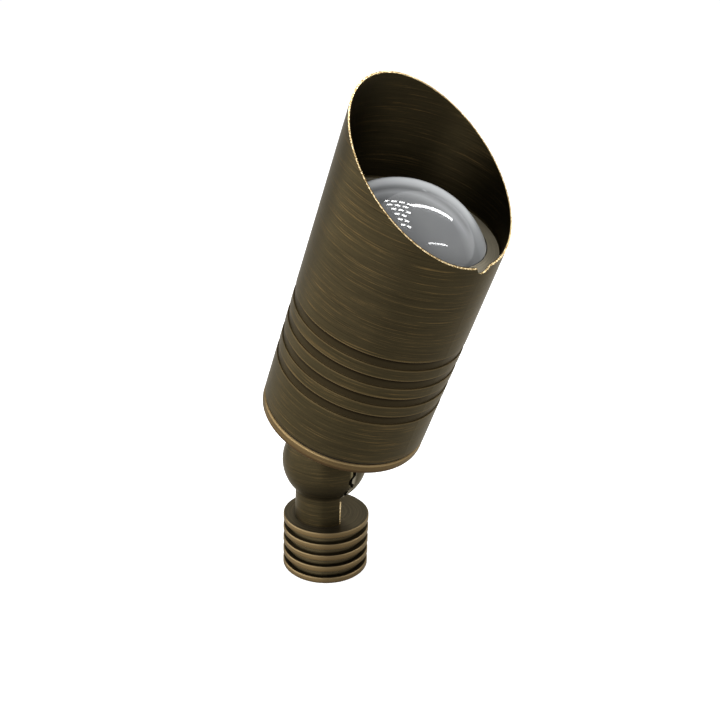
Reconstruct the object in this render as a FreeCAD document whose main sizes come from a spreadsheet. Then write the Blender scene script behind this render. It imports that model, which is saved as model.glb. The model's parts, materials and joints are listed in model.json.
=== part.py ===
import FreeCAD, Part
import math
import os
import Sketcher
from FreeCAD import Placement, Rotation, Vector

# Adjustable brass garden spotlight for a 50 mm low-voltage lamp, without its ground stake.
# Frame: millimetres, +Z up along the ribbed hub, origin at the mouth of the hub's pipe socket.
# The knuckle pin runs along Y, and the lamp leans towards +X by the angle "lean".
# The ball's centre and the split between its halves lie a little to the -Y side of the hub's axis.

os.makedirs("parts", exist_ok=True)
doc = FreeCAD.newDocument("garden_spotlight")

# ---------------------------------------------------------------- driving dimensions

DRIVING = [
    # ribbed hub, measured up from its foot
    ("hub_radius", 16.35),
    ("hub_height", 21.6),
    ("hub_rib", 2.3),
    ("hub_rib_count", 5),
    ("hub_groove_depth", 2.0),
    ("hub_edge", 0.3),
    ("socket_radius", 10.05),
    ("socket_depth", 12.5),
    ("chamber_radius", 10.6),
    ("web_bottom", 16.2),
    ("journal_radius", 8.6),
    ("stem_radius", 8.0),
    ("stem_end", 12.7),
    ("locknut_radius", 9.8),
    ("locknut_height", 2.7),
    ("locknut_slot", 2.4),
    ("washer_radius", 9.9),
    ("stem_seal_height", 19.0),
    ("seal_wire", 0.9),
    ("running_gap", 0.05),
    # knuckle, measured from the point where the pin axis crosses the axes of the hub and the lamp
    ("pivot_height", 44.9),
    ("lean", 20.8),
    ("ball_radius", 15.9),
    ("ball_shift", 1.2),
    ("split_offset", 2.1),
    ("crest_gap", 0.12),
    ("neck_radius", 10.5),
    ("neck_shift", 1.8),
    ("neck_edge", 1.3),
    ("neck_edge_run", 0.25),
    ("neck_fillet", 1.0),
    ("neck_bore", 2.2),
    ("neck_bore_shift", 1.2),
    ("collar_radius", 12.2),
    ("neck_inset", 9.0),
    ("tooth_count", 16),
    ("tooth_depth", 1.45),
    ("tooth_mouth", 4.7),
    ("tooth_floor", 1.9),
    ("tooth_start", 10.1),
    ("tooth_lip", 0.5),
    ("tooth_turn", 12.0),
    ("recess_radius", 10.4),
    ("recess_depth", 0.4),
    ("cavity_outer", 7.6),
    ("cavity_inner", 5.0),
    ("cavity_depth", 5.2),
    ("knuckle_seal_radius", 9.25),
    ("knuckle_seal_seat", 1.35),
    ("screw_radius", 3.0),
    ("screw_tip", 12.4),
    ("screw_edge", 0.6),
    ("screw_hole_end", 14.2),
    ("screw_head_radius", 5.0),
    ("screw_head_height", 6.0),
    ("screw_socket_flats", 5.0),
    ("screw_socket_depth", 3.2),
    ("counterbore_radius", 5.7),
    ("counterbore_floor", 6.6),
    ("lock_washer_height", 1.2),
    ("lead_bore", 1.7),
    ("lead_bore_offset", 5.3),
    ("lead_bore_entry", 6.0),
    ("collar_height", 1.5),
    ("stud_radius", 6.0),
    ("stud_bore", 2.6),
    ("stud_top", 30.5),
    ("lead_seal_length", 3.5),
    # lamp side, measured along the lamp axis from the lower edge of the tube
    ("tube_start", 27.14),
    ("housing_radius", 30.0),
    ("tube_bore", 28.0),
    ("tube_foot", -1.2),
    ("tube_edge", 0.4),
    ("tube_edge_height", 0.8),
    ("cowl_low", 78.3),
    ("cowl_high", 112.3),
    ("cowl_wall", 0.7),
    ("ledge_corner", 0.5),
    ("groove_first", 17.15),
    ("groove_pitch", 7.633),
    ("groove_width", 3.35),
    ("groove_depth", 0.45),
    ("groove_lip", 0.14),
    ("groove_count", 4),
    ("notch_radius", 3.25),
    ("notch_floor", 76.4),
    ("ledge_top", 75.3),
    ("ledge_bottom", 73.3),
    ("ledge_bore", 24.8),
    ("lens_radius", 24.5),
    ("lens_dome", 12.3),
    ("lens_wall", 2.4),
    ("lens_flange_radius", 27.5),
    ("lens_flange_top", 72.5),
    ("lens_flange_bottom", 69.7),
    ("retainer_bottom", 65.9),
    ("retainer_bore", 24.2),
    ("cap_bottom", -5.8),
    ("cap_ring_top", -1.8),
    ("cap_round", 1.3),
    ("cap_lip", 0.8),
    ("cap_floor", -1.2),
    ("spigot_top", 9.0),
    ("spigot_bore", 25.4),
    ("gasket_radius", 29.2),
    ("cap_seal_radius", 9.3),
    ("nut_flats", 18.0),
    ("nut_height", 4.0),
    ("nut_crown_width", 1.4),
    ("nut_crown_height", 1.2),
    ("bracket_sheet", 1.2),
    ("bracket_width", 12.0),
    ("bracket_span", 14.2),
    ("bracket_foot", 21.0),
    ("bracket_top", 7.7),
    ("bracket_screw_offset", 17.3),
    ("bracket_screw_radius", 1.5),
    ("bracket_screw_length", 2.7),
    ("bracket_head_radius", 2.75),
    ("bracket_head_height", 1.8),
    ("holder_length", 18.0),
    ("holder_width", 11.0),
    ("holder_height", 10.0),
    ("holder_corner", 1.8),
    ("holder_floor", 1.0),
    ("pin_spacing", 5.3),
    ("pin_radius", 0.75),
    ("pin_length", 6.0),
    ("contact_radius", 1.3),
    ("contact_wall", 0.5),
    ("lead_radius", 0.9),
    ("lead_spacing", 2.6),
    ("lamp_bottom", 17.9),
    ("lamp_base_height", 9.0),
    ("lamp_base_length", 17.0),
    ("lamp_base_width", 10.0),
    ("lamp_base_bevel", 1.25),
    ("lamp_throat", 9.5),
    ("lamp_rim_bottom", 58.5),
    ("lamp_rim_radius", 25.0),
    ("lamp_top", 62.9),
    ("lamp_wall", 1.2),
    ("lamp_floor", 1.8),
    ("lamp_bow_offset", 16.0),
    ("optic_height", 2.2),
    ("optic_inset", 0.4),
    ("board_radius", 7.5),
    ("board_height", 1.6),
]

sheet = doc.addObject("Spreadsheet::Sheet", "Dims")
for row, (alias, value) in enumerate(DRIVING, start=1):
    sheet.set(f"A{row}", alias.replace("_", " "))
    sheet.set(f"B{row}", str(value))
    sheet.setAlias(f"B{row}", alias)
doc.recompute()


class Size:
    """A dimension that carries its value and the sheet expression it comes from."""

    def __init__(self, value, text):
        self.value = float(value)
        self.text = text

    def __add__(self, other):
        other = size_of(other)
        return Size(self.value + other.value, f"({self.text} + {other.text})")

    def __sub__(self, other):
        other = size_of(other)
        return Size(self.value - other.value, f"({self.text} - {other.text})")

    def __mul__(self, other):
        other = size_of(other)
        return Size(self.value * other.value, f"({self.text} * {other.text})")

    def __truediv__(self, other):
        other = size_of(other)
        return Size(self.value / other.value, f"({self.text} / {other.text})")

    def __neg__(self):
        return Size(-self.value, f"(0 - {self.text})")

    __radd__ = __add__
    __rmul__ = __mul__


def size_of(number):
    return number if isinstance(number, Size) else Size(number, str(number))


def root(size):
    return Size(math.sqrt(size.value), f"sqrt({size.text})")


def dim(alias):
    return Size(sheet.get(alias), f"Dims.{alias}")


def bind(obj, **properties):
    """Set properties of an object; a Size is bound to the sheet by its expression."""
    for name, size in properties.items():
        setattr(obj, name, size_of(size).value)
        if isinstance(size, Size):
            obj.setExpression(name, size.text)


# ---------------------------------------------------------------- sketches and features

class Corner:
    """One corner of a closed outline.

    bow: centre of the arc that leads to the next corner; without it the edge is straight.
    free: the coordinate that the arc before this corner already fixes.
    """

    def __init__(self, x, y, bow=None, free=""):
        self.x = size_of(x)
        self.y = size_of(y)
        self.bow = bow
        self.free = free

    def vector(self):
        return Vector(self.x.value, self.y.value, 0)


def place_point(sketch, edge, end, x, y, free=""):
    """Hold a sketch point at x, y with bound distances; a plain zero puts it on the axis."""
    held = []
    if "x" not in free:
        held.append(("DistanceX", x, -2))
    if "y" not in free:
        held.append(("DistanceY", y, -1))
    for kind, size, axis in held:
        if size.text in ("0", "0.0"):
            sketch.addConstraint(Sketcher.Constraint("PointOnObject", edge, end, axis))
            continue
        index = sketch.addConstraint(Sketcher.Constraint(kind, -1, 1, edge, end, size.value))
        if "Dims" in size.text:
            sketch.setExpression(f"Constraints[{index}]", size.text)


def new_sketch(body, role, name, lift=None):
    """A sketch on one of the body's origin planes, lifted along the plane's normal."""
    plane = [item for item in body.Origin.OriginFeatures if item.Role == role][0]
    sketch = body.newObject("Sketcher::SketchObject", f"{body.Label}_{name}")
    sketch.AttachmentSupport = [(plane, "")]
    sketch.MapMode = "FlatFace"
    if lift is not None:
        sketch.AttachmentOffset = Placement(Vector(0, 0, size_of(lift).value), Rotation())
        if isinstance(lift, Size):
            sketch.setExpression("AttachmentOffset.Base.z", lift.text)
    return sketch


def draw_outline(sketch, corners):
    """Draw a closed outline of straight edges and short arcs through the corners."""
    edges = []
    for corner, after in zip(corners, corners[1:] + corners[:1]):
        start = corner.vector()
        end = after.vector()
        if corner.bow is None:
            edge = sketch.addGeometry(Part.LineSegment(start, end), False)
            edges.append((edge, 1, 2))
            continue
        centre = Vector(size_of(corner.bow[0]).value, size_of(corner.bow[1]).value, 0)
        circle = Part.Circle(centre, Vector(0, 0, 1), (start - centre).Length)
        first = math.atan2(start.y - centre.y, start.x - centre.x)
        last = math.atan2(end.y - centre.y, end.x - centre.x)
        if (last - first) % (2 * math.pi) < math.pi:
            edge = sketch.addGeometry(Part.ArcOfCircle(circle, first, last), False)
            edges.append((edge, 1, 2))
        else:
            edge = sketch.addGeometry(Part.ArcOfCircle(circle, last, first), False)
            edges.append((edge, 2, 1))
    for (edge, _, end), (after, start, _) in zip(edges, edges[1:] + edges[:1]):
        sketch.addConstraint(Sketcher.Constraint("Coincident", edge, end, after, start))
    for corner, (edge, start, _) in zip(corners, edges):
        place_point(sketch, edge, start, corner.x, corner.y, corner.free)
        if corner.bow is not None:
            centre_x, centre_y = [size_of(part) for part in corner.bow]
            place_point(sketch, edge, 3, centre_x, centre_y)
    return sketch


def draw_circle(sketch, x, y, radius):
    centre = Vector(size_of(x).value, size_of(y).value, 0)
    circle = sketch.addGeometry(Part.Circle(centre, Vector(0, 0, 1), radius.value), False)
    place_point(sketch, circle, 3, size_of(x), size_of(y))
    index = sketch.addConstraint(Sketcher.Constraint("Radius", circle, radius.value))
    sketch.setExpression(f"Constraints[{index}]", radius.text)
    return sketch


def new_body(label, placement=None):
    body = doc.addObject("PartDesign::Body", label)
    body.Label = label
    if placement is not None:
        body.Placement = placement
    return body


def turn(body, name, role, corners, axis="V_Axis", cut=False):
    """Revolve an outline a full turn about a sketch axis, as material or as a groove."""
    kind = "PartDesign::Groove" if cut else "PartDesign::Revolution"
    sketch = draw_outline(new_sketch(body, role, f"{name}_outline"), corners)
    feature = body.newObject(kind, f"{body.Label}_{name}")
    feature.Profile = sketch
    feature.ReferenceAxis = (sketch, [axis])
    feature.Angle = 360
    sketch.Visibility = False
    return feature


def pad(body, name, sketch, length, both_ways=False, back=False):
    feature = body.newObject("PartDesign::Pad", f"{body.Label}_{name}")
    feature.Profile = sketch
    feature.SideType = "Symmetric" if both_ways else "One side"
    feature.Reversed = back
    bind(feature, Length=length)
    return feature


def pocket(body, name, sketch, length=None, both_ways=False, along_normal=False):
    """Cut a sketch into the body; with no length it cuts right through."""
    feature = body.newObject("PartDesign::Pocket", f"{body.Label}_{name}")
    feature.Profile = sketch
    feature.SideType = "Symmetric" if both_ways else "One side"
    feature.Reversed = along_normal
    if length is None:
        feature.Type = "ThroughAll"
    else:
        bind(feature, Length=length)
    return feature


def origin_axis(body, role):
    return [item for item in body.Origin.OriginFeatures if item.Role == role][0]


def repeat_round(body, name, feature, role, count):
    pattern = body.newObject("PartDesign::PolarPattern", f"{body.Label}_{name}")
    pattern.Originals = [feature]
    pattern.Axis = (origin_axis(body, role), [""])
    pattern.Angle = 360
    bind_count(pattern, count)
    body.Tip = pattern
    return pattern


def repeat_along(body, name, feature, role, pitch, count):
    pattern = body.newObject("PartDesign::LinearPattern", f"{body.Label}_{name}")
    pattern.Originals = [feature]
    pattern.Direction = (origin_axis(body, role), [""])
    bind(pattern, Length=pitch * (count - 1))
    bind_count(pattern, count)
    body.Tip = pattern
    return pattern


def bind_count(pattern, count):
    pattern.Occurrences = int(count.value)
    pattern.setExpression("Occurrences", count.text)


def cylinder(label, radius, height, base, parent=None):
    """A plain cylinder along Z, seated at base = (x, y, z), in the parent placement."""
    solid = doc.addObject("Part::Cylinder", label)
    bind(solid, Radius=radius, Height=height)
    seat(solid, base, parent)
    return solid


def seat(solid, base, parent=None):
    spot = Vector(*[size_of(part).value for part in base])
    solid.Placement = (parent or Placement()) * Placement(spot, Rotation())


def ring(label, outer, inner, bottom, top, parent=None):
    """A flat ring between two heights, cut from two cylinders."""
    blank = cylinder(f"{label}_blank", outer, top - bottom, (0, 0, 0))
    hole = cylinder(f"{label}_hole", inner, top - bottom, (0, 0, 0))
    cut = doc.addObject("Part::Cut", label)
    cut.Base = blank
    cut.Tool = hole
    cut.Label = label
    seat(cut, (0, 0, bottom), parent)
    return cut


def seal_ring(label, radius, wire, placement):
    """An O-ring: a torus of the given mean radius and wire radius."""
    torus = doc.addObject("Part::Torus", label)
    bind(torus, Radius1=radius, Radius2=wire)
    torus.Label = label
    torus.Placement = placement
    return torus


def group(label, solids):
    compound = doc.addObject("Part::Compound", label)
    compound.Links = solids
    compound.Label = label
    return compound


def hexagon(flats):
    """Corners of a hexagon across flats, starting on +X, as outline corners."""
    reach = flats / math.sqrt(3)
    turns = [math.radians(60 * step) for step in range(6)]
    return [Corner(reach * round(math.cos(turn), 6), reach * round(math.sin(turn), 6))
            for turn in turns]


# ---------------------------------------------------------------- frames of the two ends

LEAN = Rotation(Vector(0, 1, 0), dim("lean").value)
PIVOT_POINT = Vector(0, 0, dim("pivot_height").value)
AT_PIVOT = Placement(PIVOT_POINT, Rotation())
AT_HEAD = Placement(PIVOT_POINT, LEAN)
AT_TUBE = AT_HEAD * Placement(Vector(0, 0, dim("tube_start").value), Rotation())
ALONG_Y = Rotation(Vector(1, 0, 0), -90)

gap = dim("running_gap")
OVERSHOOT = 1.0   # how far a cutting outline runs past the metal
END_SPARE = 0.2   # what a blind hole or bore is longer than the piece in it
SQUARE = 0.99     # cosine above which a face counts as square to an axis


# ---------------------------------------------------------------- hub and swivel

def make_hub():
    """Ribbed hub: pipe socket below, web with the swivel bore above, four deep grooves."""
    body = new_body("ribbed_hub")
    outer = dim("hub_radius")
    top = dim("hub_height")
    edge = dim("hub_edge")
    bore = dim("journal_radius") + gap
    seal_mid = dim("stem_seal_height")
    seal_half = dim("seal_wire") + gap
    seal_depth = dim("journal_radius") + dim("seal_wire") * 2 + gap * 2
    turn(body, "turning", "XZ_Plane", [
        Corner(dim("socket_radius"), 0),
        Corner(outer - edge, 0),
        Corner(outer, edge),
        Corner(outer, top - edge),
        Corner(outer - edge, top),
        Corner(bore, top),
        Corner(bore, seal_mid + seal_half),
        Corner(seal_depth, seal_mid + seal_half),
        Corner(seal_depth, seal_mid - seal_half),
        Corner(bore, seal_mid - seal_half),
        Corner(bore, dim("web_bottom")),
        Corner(dim("chamber_radius"), dim("web_bottom")),
        Corner(dim("chamber_radius"), dim("socket_depth")),
        Corner(dim("socket_radius"), dim("socket_depth")),
    ])
    rib = dim("hub_rib")
    pitch = (top - rib) / (dim("hub_rib_count") - 1)
    floor = outer - dim("hub_groove_depth")
    groove = turn(body, "groove", "XZ_Plane", [
        Corner(floor, rib),
        Corner(outer - edge, rib),
        Corner(outer + edge, rib - edge * 2),
        Corner(outer + edge, pitch + edge * 2),
        Corner(outer - edge, pitch),
        Corner(floor, pitch),
    ], cut=True)
    repeat_along(body, "grooves", groove, "Z_Axis", pitch, dim("hub_rib_count") - 1)
    return body


def make_stem_seal():
    height = dim("stem_seal_height").value
    radius = dim("journal_radius") + dim("seal_wire") + gap
    return seal_ring("stem_oring", radius, dim("seal_wire"), Placement(Vector(0, 0, height), Rotation()))


def make_spring_washer():
    top = dim("web_bottom") - gap
    bottom = dim("stem_end") + dim("locknut_height")
    return ring("swivel_washer", dim("washer_radius"), dim("stem_radius") + gap, bottom, top)


def make_locknut():
    """Round spanner nut that holds the swivel stem in the hub, with two slots below."""
    body = new_body("swivel_locknut")
    bottom = dim("stem_end")
    top = bottom + dim("locknut_height")
    turn(body, "turning", "XZ_Plane", [
        Corner(dim("stem_radius"), bottom),
        Corner(dim("locknut_radius"), bottom),
        Corner(dim("locknut_radius"), top),
        Corner(dim("stem_radius"), top),
    ])
    half = dim("locknut_slot") / 2
    reach = dim("locknut_radius") + OVERSHOOT
    slot = draw_outline(new_sketch(body, "XY_Plane", "slot_outline", bottom), [
        Corner(-reach, -half),
        Corner(reach, -half),
        Corner(reach, half),
        Corner(-reach, half),
    ])
    pocket(body, "slots", slot, dim("locknut_height") / 2, along_normal=True)
    return body


# ---------------------------------------------------------------- serrated knuckle

def ball_rim(face):
    """Radius of the ball where a plane across the pin axis cuts it."""
    from_centre = face + dim("ball_shift")
    return root(dim("ball_radius") * dim("ball_radius") - from_centre * from_centre)


def ball_cap(body, face, pole):
    """The part of the ball between the split and its pole, turned about the pin axis."""
    turn(body, "ball", "YZ_Plane", [
        Corner(face, 0),
        Corner(face, ball_rim(face), bow=(-dim("ball_shift"), 0)),
        Corner(pole, 0, free="x"),
    ], axis="H_Axis")


def half_neck(face, side):
    """Outline of a neck: a flat on the split plane, two narrow bevels and a round back."""
    neck = dim("neck_radius")
    middle = -dim("neck_shift")
    round_y = face + dim("neck_edge") * side
    from_middle = round_y - middle
    round_x = root(neck * neck - from_middle * from_middle)
    flat_x = round_x - dim("neck_edge_run")
    return [
        Corner(flat_x * side, face),
        Corner(round_x * side, round_y, bow=(0, middle)),
        Corner(0, middle + neck * side, bow=(0, middle), free="y"),
        Corner(-round_x * side, round_y, free="x"),
        Corner(-flat_x * side, face),
    ]


def faces_along_pin(face):
    """Whether a face is flat and square to the pin axis."""
    return isinstance(face.Surface, Part.Plane) and abs(face.normalAt(0, 0).y) > SQUARE


def round_neck_root(body, neck):
    """Fillet the corner where the ball meets the neck's round back and its two bevels."""
    doc.recompute()
    names = []
    for number, edge in enumerate(neck.Shape.Edges, start=1):
        beside = neck.Shape.ancestorsOfType(edge, Part.Face)
        on_ball = [face for face in beside if isinstance(face.Surface, Part.Sphere)]
        on_split = [face for face in beside if faces_along_pin(face)]
        if len(beside) == 2 and len(on_ball) == 1 and not on_split:
            names.append(f"Edge{number}")
    fillet = body.newObject("PartDesign::Fillet", f"{body.Label}_neck_root")
    fillet.Base = (neck, names)
    bind(fillet, Radius=dim("neck_fillet"))
    return fillet


def cut_teeth(body, face, inwards, angle):
    """Radial teeth with flanks that all run to one point of the pin axis, as on a face coupling."""
    rim = ball_rim(face)
    slope = (dim("tooth_mouth") - dim("tooth_floor")) / (dim("tooth_depth") * 2)
    lip = dim("tooth_lip")
    sections = []
    for name, radius in (("inner", dim("tooth_start")), ("outer", rim + lip)):
        share = radius / rim
        mouth = (dim("tooth_mouth") / 2 + lip * slope) * share
        floor = dim("tooth_floor") / 2 * share
        open_end = face - lip * share * inwards
        deep_end = face + dim("tooth_depth") * share * inwards
        sketch = new_sketch(body, "YZ_Plane", f"tooth_{name}")
        radians = math.radians(angle.value)
        sketch.AttachmentOffset = Placement(
            Vector(0, -radius.value * math.sin(radians), radius.value * math.cos(radians)),
            Rotation(Vector(1, 0, 0), angle.value))
        turned = f"({angle.text} * 1 deg)"
        sketch.setExpression("AttachmentOffset.Base.y", f"0 - {radius.text} * sin{turned}")
        sketch.setExpression("AttachmentOffset.Base.z", f"{radius.text} * cos{turned}")
        sections.append(draw_outline(sketch, [
            Corner(open_end, -mouth),
            Corner(deep_end, -floor),
            Corner(deep_end, floor),
            Corner(open_end, mouth),
        ]))
    notch = body.newObject("PartDesign::SubtractiveLoft", f"{body.Label}_tooth_gap")
    notch.Profile = sections[0]
    notch.Sections = [sections[1]]
    notch.Ruled = True
    repeat_round(body, "teeth", notch, "Y_Axis", dim("tooth_count"))


def make_knuckle_base():
    """Lower half: ball half on the -Y side, flat-backed neck and the swivel stem."""
    body = new_body("knuckle_base", AT_PIVOT)
    face = -(dim("split_offset") + dim("crest_gap") / 2)
    neck_bottom = dim("hub_height") - dim("pivot_height")
    ball_cap(body, face, -dim("ball_radius") - dim("ball_shift"))

    outline = new_sketch(body, "XY_Plane", "neck_outline", neck_bottom)
    draw_outline(outline, half_neck(face, -1))
    neck = pad(body, "neck", outline, -(neck_bottom + dim("neck_inset")))
    round_neck_root(body, neck)

    stem_bottom = dim("stem_end") - dim("pivot_height")
    shoulder = dim("web_bottom") + gap - dim("pivot_height")
    turn(body, "stem", "XZ_Plane", [
        Corner(0, stem_bottom),
        Corner(dim("stem_radius"), stem_bottom),
        Corner(dim("stem_radius"), shoulder),
        Corner(dim("journal_radius"), shoulder),
        Corner(dim("journal_radius"), neck_bottom),
        Corner(0, neck_bottom),
    ])

    hole = dim("screw_radius") + gap
    recess = face - dim("recess_depth")
    cavity = face - dim("cavity_depth")
    hole_end = -dim("screw_hole_end")
    turn(body, "hollow", "YZ_Plane", [
        Corner(face + OVERSHOOT, 0),
        Corner(face + OVERSHOOT, dim("recess_radius")),
        Corner(recess, dim("recess_radius")),
        Corner(recess, dim("cavity_outer")),
        Corner(cavity, dim("cavity_outer")),
        Corner(cavity, dim("cavity_inner")),
        Corner(recess, dim("cavity_inner")),
        Corner(recess, hole),
        Corner(hole_end, hole),
        Corner(hole_end, 0),
    ], axis="H_Axis", cut=True)

    bore = new_sketch(body, "XY_Plane", "lead_bore_outline", stem_bottom)
    draw_circle(bore, 0, -dim("lead_bore_offset"), dim("lead_bore"))
    pocket(body, "lead_bore", bore, -(stem_bottom + dim("lead_bore_entry")), along_normal=True)
    cut_teeth(body, face, -1, dim("tooth_turn"))
    return body


def make_knuckle_head():
    """Upper half: ball half on the +Y side, flat-backed neck, round collar and hollow stud."""
    body = new_body("knuckle_head", AT_HEAD)
    face = -(dim("split_offset") - dim("crest_gap") / 2)
    neck_top = dim("tube_start") + dim("cap_bottom")
    ball_cap(body, face, dim("ball_radius") - dim("ball_shift"))

    outline = new_sketch(body, "XY_Plane", "neck_outline", dim("neck_inset"))
    draw_outline(outline, half_neck(face, 1))
    neck = pad(body, "neck", outline, neck_top - dim("neck_inset"))
    round_neck_root(body, neck)

    collar = dim("collar_radius")
    turn(body, "collar", "XZ_Plane", [
        Corner(0, neck_top - dim("collar_height")),
        Corner(collar, neck_top - dim("collar_height")),
        Corner(collar, neck_top),
        Corner(dim("stud_radius"), neck_top),
        Corner(dim("stud_radius"), dim("stud_top")),
        Corner(0, dim("stud_top")),
    ])

    hole = dim("screw_radius") + gap * 2
    recess = face + dim("recess_depth")
    cavity = face + dim("cavity_depth")
    seal_half = dim("seal_wire") + gap * 2
    seal_floor = recess + dim("knuckle_seal_seat")
    turn(body, "hollow", "YZ_Plane", [
        Corner(face - OVERSHOOT, 0),
        Corner(face - OVERSHOOT, dim("recess_radius")),
        Corner(recess, dim("recess_radius")),
        Corner(recess, dim("knuckle_seal_radius") + seal_half),
        Corner(seal_floor, dim("knuckle_seal_radius") + seal_half),
        Corner(seal_floor, dim("knuckle_seal_radius") - seal_half),
        Corner(recess, dim("knuckle_seal_radius") - seal_half),
        Corner(recess, dim("cavity_outer")),
        Corner(cavity, dim("cavity_outer")),
        Corner(cavity, dim("cavity_inner")),
        Corner(recess, dim("cavity_inner")),
        Corner(recess, hole),
        Corner(dim("counterbore_floor"), hole),
        Corner(dim("counterbore_floor"), dim("counterbore_radius")),
        Corner(dim("ball_radius") + OVERSHOOT, dim("counterbore_radius")),
        Corner(dim("ball_radius") + OVERSHOOT, 0),
    ], axis="H_Axis", cut=True)

    meeting = neck_top - dim("collar_height") / 2
    lower = new_sketch(body, "XY_Plane", "neck_bore_outline", dim("lead_bore_entry"))
    draw_circle(lower, 0, dim("neck_bore_shift"), dim("neck_bore"))
    pocket(body, "neck_bore", lower, meeting - dim("lead_bore_entry"), along_normal=True)
    upper = new_sketch(body, "XY_Plane", "stud_bore_outline", meeting)
    draw_circle(upper, 0, 0, dim("stud_bore"))
    pocket(body, "stud_bore", upper, along_normal=True)
    cut_teeth(body, face, 1, dim("tooth_turn") + size_of(180) / dim("tooth_count") - dim("lean"))
    return body


def make_knuckle_seal():
    """Seal between the two halves; it lies in the upper half and reaches to the lower face."""
    face = -(dim("split_offset") + dim("crest_gap") / 2) - dim("recess_depth")
    middle = face + dim("seal_wire") + gap
    place = Placement(PIVOT_POINT + Vector(0, middle.value, 0), ALONG_Y)
    return seal_ring("knuckle_oring", dim("knuckle_seal_radius"), dim("seal_wire"), place)


def make_lock_washer():
    """Washer under the head of the knuckle screw, seated in the counterbore."""
    washer = ring("knuckle_washer", dim("screw_head_radius"), dim("screw_radius") + gap,
                  dim("counterbore_floor"), dim("counterbore_floor") + dim("lock_washer_height"))
    spot = PIVOT_POINT + Vector(0, dim("counterbore_floor").value, 0)
    washer.Placement = Placement(spot, ALONG_Y)
    return washer


def make_knuckle_screw():
    """Socket-head screw along the pin axis: it clamps the toothed halves together."""
    body = new_body("knuckle_screw", Placement(PIVOT_POINT, ALONG_Y))
    under_head = dim("counterbore_floor") + dim("lock_washer_height")
    top = under_head + dim("screw_head_height")
    edge = dim("screw_edge")
    turn(body, "turning", "XZ_Plane", [
        Corner(0, -dim("screw_tip")),
        Corner(dim("screw_radius") - edge, -dim("screw_tip")),
        Corner(dim("screw_radius"), edge - dim("screw_tip")),
        Corner(dim("screw_radius"), under_head),
        Corner(dim("screw_head_radius"), under_head),
        Corner(dim("screw_head_radius"), top - edge),
        Corner(dim("screw_head_radius") - edge, top),
        Corner(0, top),
    ])
    key = draw_outline(new_sketch(body, "XY_Plane", "key_outline", top), hexagon(dim("screw_socket_flats")))
    pocket(body, "key", key, dim("screw_socket_depth"))
    return body


# ---------------------------------------------------------------- rear cap and what it carries

def make_rear_cap():
    """Rear cap: rounded ring flange outside, floor, and a spigot that the tube screws onto."""
    body = new_body("rear_cap", AT_TUBE)
    outer = dim("housing_radius")
    bottom = dim("cap_bottom")
    lower = dim("cap_round")
    upper = dim("cap_lip")
    spigot = dim("tube_bore") - gap
    stud_hole = dim("stud_radius") + gap
    seal_top = bottom + dim("seal_wire") * 2
    seal_half = dim("seal_wire") + gap * 2
    turn(body, "turning", "XZ_Plane", [
        Corner(stud_hole, bottom),
        Corner(dim("cap_seal_radius") - seal_half, bottom),
        Corner(dim("cap_seal_radius") - seal_half, seal_top),
        Corner(dim("cap_seal_radius") + seal_half, seal_top),
        Corner(dim("cap_seal_radius") + seal_half, bottom),
        Corner(outer - lower, bottom, bow=(outer - lower, bottom + lower)),
        Corner(outer, bottom + lower, free="x"),
        Corner(outer, dim("cap_ring_top") - upper, bow=(outer - upper, dim("cap_ring_top") - upper)),
        Corner(outer - upper, dim("cap_ring_top"), free="y"),
        Corner(spigot, dim("cap_ring_top")),
        Corner(spigot, dim("spigot_top")),
        Corner(dim("spigot_bore"), dim("spigot_top")),
        Corner(dim("spigot_bore"), dim("cap_floor")),
        Corner(stud_hole, dim("cap_floor")),
    ])
    holes = new_sketch(body, "XY_Plane", "screw_holes", dim("cap_floor"))
    for side in (-1, 1):
        draw_circle(holes, dim("bracket_screw_offset") * side, 0, dim("bracket_screw_radius") + gap)
    pocket(body, "holes", holes, dim("bracket_screw_length") + END_SPARE)
    return body


def make_cap_seal():
    """Seal under the rear cap, pressed by the collar of the upper knuckle half."""
    height = dim("cap_bottom") + dim("seal_wire")
    place = AT_TUBE * Placement(Vector(0, 0, height.value), Rotation())
    return seal_ring("cap_oring", dim("cap_seal_radius"), dim("seal_wire"), place)


def make_cap_nut():
    """Hexagon nut that holds the rear cap down on the knuckle's stud."""
    body = new_body("cap_locknut", AT_TUBE)
    outline = new_sketch(body, "XY_Plane", "hexagon", dim("cap_floor"))
    draw_outline(outline, hexagon(dim("nut_flats")))
    draw_circle(outline, 0, 0, dim("stud_radius") + gap)
    pad(body, "blank", outline, dim("nut_height"))
    top = dim("cap_floor") + dim("nut_height")
    corner = dim("nut_flats") / math.sqrt(3)
    turn(body, "crown", "XZ_Plane", [
        Corner(corner - dim("nut_crown_width"), top),
        Corner(corner + OVERSHOOT, top),
        Corner(corner + OVERSHOOT, top - dim("nut_crown_height")),
    ], cut=True)
    return body


def make_lead_seal():
    """Rubber plug in the stud's bore that the two lamp leads pass into."""
    length = dim("lead_seal_length")
    bottom = dim("stud_top") - dim("tube_start") - length
    plug = cylinder("lead_seal", dim("stud_bore"), length, (0, 0, bottom), AT_TUBE)
    plug.Label = "lead_seal"
    return plug


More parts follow.
